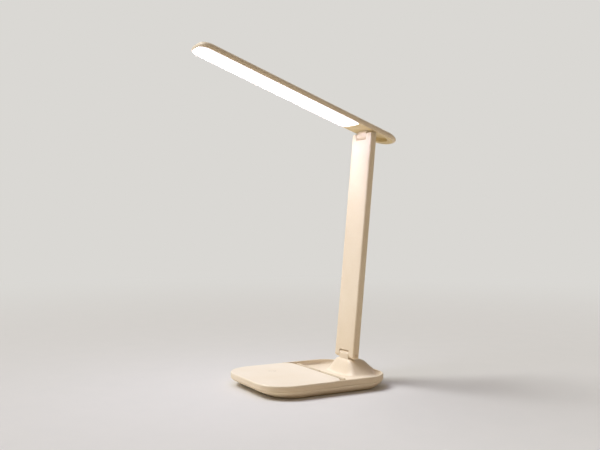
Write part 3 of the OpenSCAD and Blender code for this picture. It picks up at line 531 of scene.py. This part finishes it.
bowl_sine, bowl_cosine = arc(0, 90, 16)
bowl = bowl_cosine ** (2 / ramp_power)
fall = bowl_sine ** (2 / ramp_power)
bowl_top = rim_z - inner_round
rim_in = rim_w - inner_round * (1 - sine)
side_in = np.concatenate([rim_in, rim_w + wall_run * (1 - bowl[1:]), [rim_w + floor_side]])
rear_in = np.concatenate([rim_in, rim_w + ramp_run * (1 - bowl[1:]), [rim_w + floor_rear]])
inner_z = np.concatenate([rim_z - inner_round * (1 - cosine),
                          bowl_top - (bowl_top - trough_z) * fall[1:], [trough_z]])
shift = np.concatenate([np.zeros(len(side_in) - 1), [floor_front]])
inner = rings_at(outline(half_w - side_in, pocket_y + shift, rear_y - rear_in, pocket_r,
                         rear_r - (side_in + rear_in) / 2), inner_z)
band = skin(np.concatenate([outer, inner]))
print("band, rim and trough:", len(band[1]), "faces")

# %% [markdown]
# ## Upper housing: hinge hump
# The hump that carries the hinge is a block over a grid. Its height is a side profile,
# which climbs from the trough floor and falls at the rear edge, blended with the floor by
# a cosine bell across the base, so it runs out into the trough with no crease.

# %% Hinge hump
post_half = 3.9 * mm
hump_top = 23.1 * mm
hump_flat = 9.4 * mm
hump_fillet = 20 * mm
hump_front = base_axis[1] - 12.6 * mm
hump_step = base_axis[1] - post_half
hump_crest = base_axis[1] + 4.2 * mm
hump_end = rear_y - 0.06 * mm
hump_sink = 0.04 * mm
hump_root = seam_z + 0.45 * mm
fall_power, fall_round = 3, 0.75
low_rim = rim_z - rim_round


def trough_profile(y):
    """Height of the trough's middle: top - (top - floor) (1 - (1 - inward / run)^p)^(1 / p)."""
    inward = np.clip((rear_y - rim_w - y) / ramp_run, 0, 1)
    return bowl_top - (bowl_top - trough_z) * (1 - (1 - inward) ** ramp_power) ** (1 / ramp_power)


hump_x = np.linspace(-hump_flat - hump_fillet, hump_flat + hump_fillet, 91)
hump_y = np.concatenate([np.linspace(hump_front, hump_crest, 34), np.linspace(hump_crest, hump_end, 40)[1:]])
climb = np.clip((hump_y - hump_front) / (hump_step - hump_front), 0, 1)
drop = np.clip((hump_y - hump_crest) / (hump_end - hump_crest), 0, 1)
side_view = np.where(hump_y < hump_crest, trough_z + (hump_top - trough_z) * climb ** 2 * (3 - 2 * climb),
                     low_rim + (hump_top - low_rim) * (1 - drop ** fall_power) ** fall_round)
bell = (1 + np.cos(np.pi * np.clip((abs(hump_x) - hump_flat) / hump_fillet, 0, 1))) / 2
floor_line = np.minimum(trough_profile(hump_y), low_rim) - hump_sink
hump_height = floor_line[:, None] + (side_view - floor_line)[:, None] * bell[None, :]
hump = block(hump_x, hump_y, hump_height, np.full_like(hump_height, hump_root))
print("hinge hump:", len(hump[1]), "faces, top at", hump_top / mm, "mm")

# %% [markdown]
# ## Upper housing: seat, slot and port
# A deck joins the band under the touch plate, and the hump joins the trough. The seat of
# the plate, the slot for the hinge post and the charging port are cut out of the result.
# Each cutter reaches over the surface that it opens, so that no two faces coincide.

# %% Seat, slot and port
plate_rear_r = 14 * mm
hair = 0.001 * mm
over = 1 * mm
seat_in, seat_root, seat_under = 0.6 * mm, 0.3 * mm, 0.02 * mm
plate_gap, post_gap, port_gap = 0.12 * mm, 0.2 * mm, 0.15 * mm
slot_sink = 0.5 * mm
slot_half_x = 8.2 * mm + post_gap
slot_half_y = post_half + post_gap


def plate_prism(grow, z_low, z_high):
    """The touch plate's outline between two heights, grown or drawn in."""
    flat = outline(half_w + grow, front_y - grow, plate_rear_y + grow, front_r + grow, plate_rear_r + grow)
    return skin(rings_at(np.repeat(flat, 2, axis=0), np.array([z_low, z_high])))


def box_shape(lowest, highest):
    """A plain box between two corners, as a cutter."""
    x, y = np.array([lowest[0], highest[0]]), np.array([lowest[1], highest[1]])
    return block(x, y, np.full((2, 2), highest[2]), np.full((2, 2), lowest[2]))


def port_slot(y_inner, grow):
    """A slot with round ends along Y, through the rear wall."""
    middle = (low["usb_socket"] + high["usb_socket"]) / 2
    size = (high["usb_socket"] - low["usb_socket"]) / 2 + grow
    r = size[2] - hair
    ring = outline(size[0], -size[2], size[2], r, r, steps=10)[0]
    rings = np.stack([np.column_stack([ring[:, 0] + middle[0], np.full(len(ring), y), ring[:, 1] + middle[2]])
                      for y in (rear_y + over, y_inner)])
    return skin(rings)


post_slot = box_shape((-slot_half_x, base_axis[1] - slot_half_y, trough_z - slot_sink),
                      (slot_half_x, base_axis[1] + slot_half_y, hump_top + 2 * over))
upper_shell = combine(mesh_object("upper_shell", band),
                      ("UNION", plate_prism(-seat_in, deck_z + seat_root, seat_z - seat_under)),
                      ("UNION", hump),
                      ("DIFFERENCE", plate_prism(plate_gap, seat_z, rim_z + over)),
                      ("DIFFERENCE", post_slot),
                      ("DIFFERENCE", port_slot(low["usb_socket"][1], port_gap)))
smooth(upper_shell, 28)
dress(upper_shell, "base", cream_abs, "cream", "upper_housing")

# %% [markdown]
# ## Touch plate
# The plate is flush with the band and has a soft rolled edge, which catches a thin line of
# light all round. Its profile is an upright side and a quarter circle.

# %% Touch plate
plate_roll = 1.3 * mm
plate_toe = 0.15 * mm
plate_flat_in = plate_roll + 0.4 * mm
plate_under = seat_z + 0.01 * mm
sine, cosine = arc(0, 90, 10)
plate_in = np.concatenate([[plate_toe * 3, plate_toe, 0], plate_roll * (1 - cosine), [plate_flat_in]])
plate_z = np.concatenate([[plate_under, plate_under, seat_z + plate_toe],
                          rim_z - plate_roll * (1 - sine), [rim_z]])
plate_rings = rings_at(outline(half_w - plate_in, front_y + plate_in, plate_rear_y - plate_in,
                               front_r - plate_in, plate_rear_r - plate_in, steps=28), plate_z)
touch_cover = smooth(mesh_object("touch_cover", skin(plate_rings)))
dress(touch_cover, "base", plate_abs, "cream", "touch_plate")

# %% [markdown]
# ## Light bar shell
# The bar is a shallow tray, upside down: a crowned top, a thin lip round the diffuser and
# a hollow inside for the light guide. One stack of rings runs from the ceiling inside,
# down the wall, round the lip and up over the crown, so it has a real wall thickness. The
# crown is a quarter ellipse, 5 mm wide and 4.4 mm high. The tail leans in underneath.

# %% Light bar shell
bar_front = -204.2 * mm
bar_tail = 35.1 * mm
bar_front_r, bar_tail_r = 10.5 * mm, 15 * mm
bar_t = 6.8 * mm
crown_z, crown_run = 2.4 * mm, 5.0 * mm
tail_lean, tail_lean_z = 2.2 * mm, 2.0 * mm
lip = 0.8 * mm
shoulder_z = 1.5 * mm
wall = 1.5 * mm
ceiling_in, ceiling_round = 1.5 * mm, 0.1 * mm
hollow_z = 4.1 * mm
top_in = crown_run + 0.5 * mm
corner_gap = 0.35 * mm
edge_run, edge_rise = 0.6 * mm, 1.3 * mm

sine, cosine = arc(0, 90, 14)
low_sine, low_cosine = arc(0, 90, 6)
bar_in = np.concatenate([[2 * wall + ceiling_in, 2 * wall, wall, wall, lip, lip],
                         edge_run * (1 - low_sine), crown_run * (1 - cosine), [top_in]])
bar_z = np.concatenate([[bar_t - wall, bar_t - wall - ceiling_round, hollow_z, shoulder_z, shoulder_z, 0],
                        edge_rise * (1 - low_cosine), crown_z + (bar_t - crown_z) * sine, [bar_t]])
bar_lean = tail_lean * np.clip(1 - bar_z / tail_lean_z, 0, 1)
bar_lean[:4] = tail_lean
tail_r = np.minimum(bar_tail_r - bar_in / 2, bar_half - bar_in - corner_gap)
bar_rings = rings_at(outline(bar_half - bar_in, bar_front + bar_in, bar_tail - bar_in - bar_lean,
                             bar_front_r - bar_in / 2, tail_r, steps=22), bar_z)
bar_shell = smooth(mesh_object("bar_shell", skin(place_on_bar(bar_rings))), 40)
dress(bar_shell, "head", cream_abs, "cream", "head_shell")

# %% [markdown]
# ## Diffuser
# The diffuser lies flush in the lip. Its edge is rounded a little, as a cut and polished
# acrylic sheet is, so a dark hairline separates it from the lip.

# %% Diffuser
seam = 0.15 * mm
diffuser_rear = -18.2 * mm
diffuser_rear_r = 6 * mm
diffuser_t = 1.4 * mm
panel_edge = 0.25 * mm
panel_flat_in = 0.3 * mm
panel_in = np.concatenate([[panel_edge + panel_flat_in], panel_edge * (1 - low_sine), [0, panel_flat_in]])
panel_z = np.concatenate([[0], panel_edge * (1 - low_cosine), [diffuser_t, diffuser_t]])
panel_rings = rings_at(outline(bar_half - lip - seam - panel_in, bar_front + lip + seam + panel_in,
                               diffuser_rear - panel_in, bar_front_r - lip - seam - panel_in,
                               diffuser_rear_r - panel_in, steps=22), panel_z)
light_panel = smooth(mesh_object("light_panel", skin(place_on_bar(panel_rings))))
dress(light_panel, "head", opal_acrylic, "opal", "diffuser")

# %% [markdown]
# ## Stem, covers, knuckles and small pieces
# These solids already have the right form. A real moulding has no knife edges, so each
# one is copied, merged and given a small bevel, which is what makes an edge catch light.

# %% Stem, covers, knuckles and small pieces
soft_pieces = [
    ("stem_shell", "stem", cream_abs, "cream", 0.3),
    ("stem_rear_cover", "stem", shade_abs, "cream_shade", 0.3),
    # The tail cover's yellower ABS is painted warm light on the bar's underside.
    ("tail_cover", "head", painted_warm_light_tail_abs, "cream_shade", 0.15),
    ("hinge_post", "base", cream_zinc, "cream_cast", 0.4),
    ("head_knuckle", "head", cream_zinc, "cream_cast", 0.4),
    ("base_pin_caps", "stem", shade_abs, "cream_shade", 0.25),
    ("head_pin_caps", "stem", shade_abs, "cream_shade", 0.25),
    ("stop_ribs", "base", rib_silicone, "silicone", 0.2),
    ("anti_slip_pad", "base", pad_silicone, "silicone", 0.3),
]
for node, body, material, slot, width in soft_pieces:
    dress(softened(node, width * mm), body, material, slot, node)

# %% [markdown]
# ## Materials of the pieces inside
# The solids that stay as they are get their materials here: fasteners, boards, cell, wires
# and the light guide. They show only when the lamp is opened, but they are finished too.

# %% Inner materials
def solder_mask(name):
    """Green lacquer over copper: brick-shaped tracks show as a paler green."""
    material, tree, surface, place = start_material(name, Roughness=0.3, Coat_Weight=0.4)
    tracks = add(tree, "ShaderNodeTexBrick", {"Vector": place, "Scale": per_mm(3), "Mortar Size": 0.06,
                                              "Color1": linear("#1F5A3A"), "Color2": linear("#256845"),
                                              "Mortar": linear("#3F8A5F")})
    tree.links.new(tracks.outputs["Color"], surface.inputs["Base Color"])
    return material


def plain_polymer(name, pale, deep, roughness, grain):
    """A film, wrap or sleeve: soft noise in colour and a shallow bump."""
    material, tree, surface, place = start_material(name, Roughness=roughness)
    noise = add(tree, "ShaderNodeTexNoise", {"Vector": place, "Scale": per_mm(grain), "Detail": 3.0})
    colour = add(tree, "ShaderNodeMix", {"Factor": noise.outputs["Fac"], 6: linear(pale), 7: linear(deep)},
                 data_type="RGBA")
    tree.links.new(colour.outputs[2], surface.inputs["Base Color"])
    bump = add(tree, "ShaderNodeBump", {"Height": noise.outputs["Fac"], "Distance": 0.01 * mm})
    tree.links.new(bump.outputs[0], surface.inputs["Normal"])
    return material


def cast_acrylic(name):
    """Clear PMMA sheet with a faint etched dot pattern, as a light guide has."""
    material, tree, surface, place = start_material(name, IOR=1.49, Transmission_Weight=1.0, Roughness=0.05)
    dots = add(tree, "ShaderNodeTexVoronoi", {"Vector": place, "Scale": per_mm(1.5)})
    tint = add(tree, "ShaderNodeMapRange", {"Value": dots.outputs["Distance"], "From Min": 0.2,
                                            "From Max": 0.3})
    colour = add(tree, "ShaderNodeMix", {"Factor": tint.outputs[0], 6: linear("#DCE9EC"),
                                         7: linear("#F4FAFB")}, data_type="RGBA")
    tree.links.new(colour.outputs[2], surface.inputs["Base Color"])
    return material


green_board = solder_mask("green solder mask on glass epoxy")
epoxy_black = plain_polymer("black epoxy chip packages", "#26262A", "#1B1B1E", 0.5, 0.8)
cell_film = plain_polymer("blue-grey film-wrapped cell", "#93A9B8", "#7E95A5", 0.35, 6)
white_film = plain_polymer("white polyester reflector film", "#F4F4F0", "#E8E8E3", 0.45, 2)
wire_sleeve = plain_polymer("white PVC ribbon", "#F3EFE6", "#E6E1D5", 0.5, 3)
diode_phosphor = plain_polymer("yellow phosphor gel", "#F3D24C", "#E5BE35", 0.4, 1)
copper_foil = drawn_metal("bare rolled copper foil", "#C98A62", "#B2744C", 0.35, (1, 10, 10))
clear_acrylic = cast_acrylic("clear cast acrylic light guide")

inner_materials = {
    "touch_sensor": copper_foil, "counterweight": rolled_steel, "battery": cell_film,
    "control_board": green_board, "board_parts": epoxy_black, "usb_board": green_board,
    "usb_socket": nickel_steel, "housing_screws": nickel_steel, "post_screws": nickel_steel,
    "base_wire": wire_sleeve, "base_hinge_pin": nickel_steel, "base_washers": nickel_steel,
    "stem_spine": rolled_steel, "spine_screws": nickel_steel, "stem_wire": wire_sleeve,
    "head_hinge_pin": nickel_steel, "head_washers": nickel_steel, "knuckle_screws": nickel_steel,
    "light_guide": clear_acrylic, "reflector_sheet": white_film, "led_strips": white_film,
    "leds": diode_phosphor, "head_wire": wire_sleeve,
}
for node, material in inner_materials.items():
    slots = frame["nodes"][node].data.materials
    slots.clear()
    slots.append(material)
print("inner materials on", len(inner_materials), "solids")

# %% [markdown]
# ## Floor
# The floor is a plain pale disc that fades into a backdrop of the same colour far from the
# lamp, so no horizon shows. The light that it throws back on the lamp is warmer than the
# floor looks, as from a wooden table, which makes the shaded sides of the plastic look
# tan rather than grey.

# %% Floor
backdrop = "#DAD8D4"
floor_radius = 6.0
fade_start, fade_end = 0.35, 1.6


def seen_directly(tree):
    """1 for rays from the camera, from mirrors and through glass, else 0."""
    path = add(tree, "ShaderNodeLightPath").outputs
    first = add(tree, "ShaderNodeMath", {0: path["Is Camera Ray"], 1: path["Is Glossy Ray"]},
                operation="MAXIMUM")
    return add(tree, "ShaderNodeMath", {0: first.outputs[0], 1: path["Is Transmission Ray"]},
               operation="MAXIMUM").outputs[0]


angles = np.linspace(0, 2 * np.pi, 96, endpoint=False)
floor_points = np.column_stack([floor_radius * np.cos(angles), floor_radius * np.sin(angles),
                                np.zeros(len(angles))])
floor = mesh_object("floor", (floor_points, [list(range(len(angles)))]))
floor_paper, floor_tree, floor_surface, floor_place = start_material("pale backdrop paper", Roughness=0.85)
fibre = add(floor_tree, "ShaderNodeTexNoise", {"Vector": floor_place, "Scale": per_mm(30), "Detail": 4.0})
floor_colour = add(floor_tree, "ShaderNodeMix", {"Factor": fibre.outputs["Fac"], 6: linear("#DAD9D8"),
                                                 7: linear("#D6D6D5")}, data_type="RGBA")
bounced = add(floor_tree, "ShaderNodeLightPath").outputs["Is Diffuse Ray"]
bounce_colour = add(floor_tree, "ShaderNodeMix", {"Factor": bounced, 6: floor_colour.outputs[2],
                                                  7: linear("#DDD2BE")}, data_type="RGBA")
floor_tree.links.new(bounce_colour.outputs[2], floor_surface.inputs["Base Color"])
distance = add(floor_tree, "ShaderNodeVectorMath", {0: floor_place}, operation="LENGTH").outputs["Value"]
fade = add(floor_tree, "ShaderNodeMapRange", {"Value": distance, "From Min": fade_start,
                                              "From Max": fade_end},
           interpolation_type="SMOOTHSTEP").outputs[0]
share = add(floor_tree, "ShaderNodeMath", {0: fade, 1: seen_directly(floor_tree)},
            operation="MULTIPLY").outputs[0]
glow = add(floor_tree, "ShaderNodeEmission", {"Color": linear(backdrop), "Strength": 1.0})
blend = add(floor_tree, "ShaderNodeMixShader", {0: share, 1: floor_surface.outputs[0], 2: glow.outputs[0]})
output = next(node for node in floor_tree.nodes if node.type == "OUTPUT_MATERIAL")
floor_tree.links.new(blend.outputs[0], output.inputs["Surface"])
floor.data.materials.append(floor_paper)
print("floor:", floor_radius, "m, fades to", backdrop)

# %% [markdown]
# ## Surroundings and main light
# The surroundings are bright and white on the left and dim and warm on the right. The main
# light comes from high on the front left, as wide as a large softbox, and falls evenly on
# the whole floor. The third light is the glow of the lamp's own panel.

# %% Surroundings
left_fill, right_fill, fill_strength = "#BDB9B2", "#6F5A44", 0.9
world = bpy.data.worlds.new("studio")
bpy.context.scene.world = world
world.use_nodes = True
world_tree = world.node_tree
world_tree.nodes.clear()
direction = add(world_tree, "ShaderNodeTexCoord").outputs["Generated"]
sideways = add(world_tree, "ShaderNodeSeparateXYZ", {0: direction}).outputs[0]
to_right = add(world_tree, "ShaderNodeMapRange", {"Value": sideways, "From Min": -0.8,
                                                  "From Max": 0.8}).outputs[0]
studio = add(world_tree, "ShaderNodeMix", {"Factor": to_right, 6: linear(left_fill),
                                           7: linear(right_fill)}, data_type="RGBA")
fill = add(world_tree, "ShaderNodeBackground", {"Color": studio.outputs[2], "Strength": fill_strength})
scenery = add(world_tree, "ShaderNodeBackground", {"Color": linear(backdrop), "Strength": 1.0})
sky = add(world_tree, "ShaderNodeMixShader", {0: seen_directly(world_tree), 1: fill.outputs[0],
                                              2: scenery.outputs[0]})
add(world_tree, "ShaderNodeOutputWorld", {"Surface": sky.outputs[0]})
print("surroundings:", left_fill, "to", right_fill)

# %% Main light
def lamp(kind, name, place, facing, energy, colour, **settings):
    """A lamp at a place whose light travels along a direction."""
    light = bpy.data.lights.new(name, kind)
    light.energy, light.color = energy, linear(colour)[:3]
    for key, value in settings.items():
        setattr(light, key, value)
    body = bpy.data.objects.new(name, light)
    x, y, z = facing
    body.location = place
    body.rotation_euler = (math.atan2(math.hypot(x, y), -z), 0, math.atan2(-x, y))
    bpy.context.scene.collection.objects.link(body)
    return body


key_facing = (0.42, 0.42, -0.80)
key_strength = 2.37
key_spread = math.radians(28)
lamp("SUN", "key", (-1, -1, 2), key_facing, key_strength, "#FFFFFF", angle=key_spread)

# %% [markdown]
# ## Finish
# The picture keeps its colours as they are written.

# %% Finish
bpy.context.scene.view_settings.view_transform = "Standard"
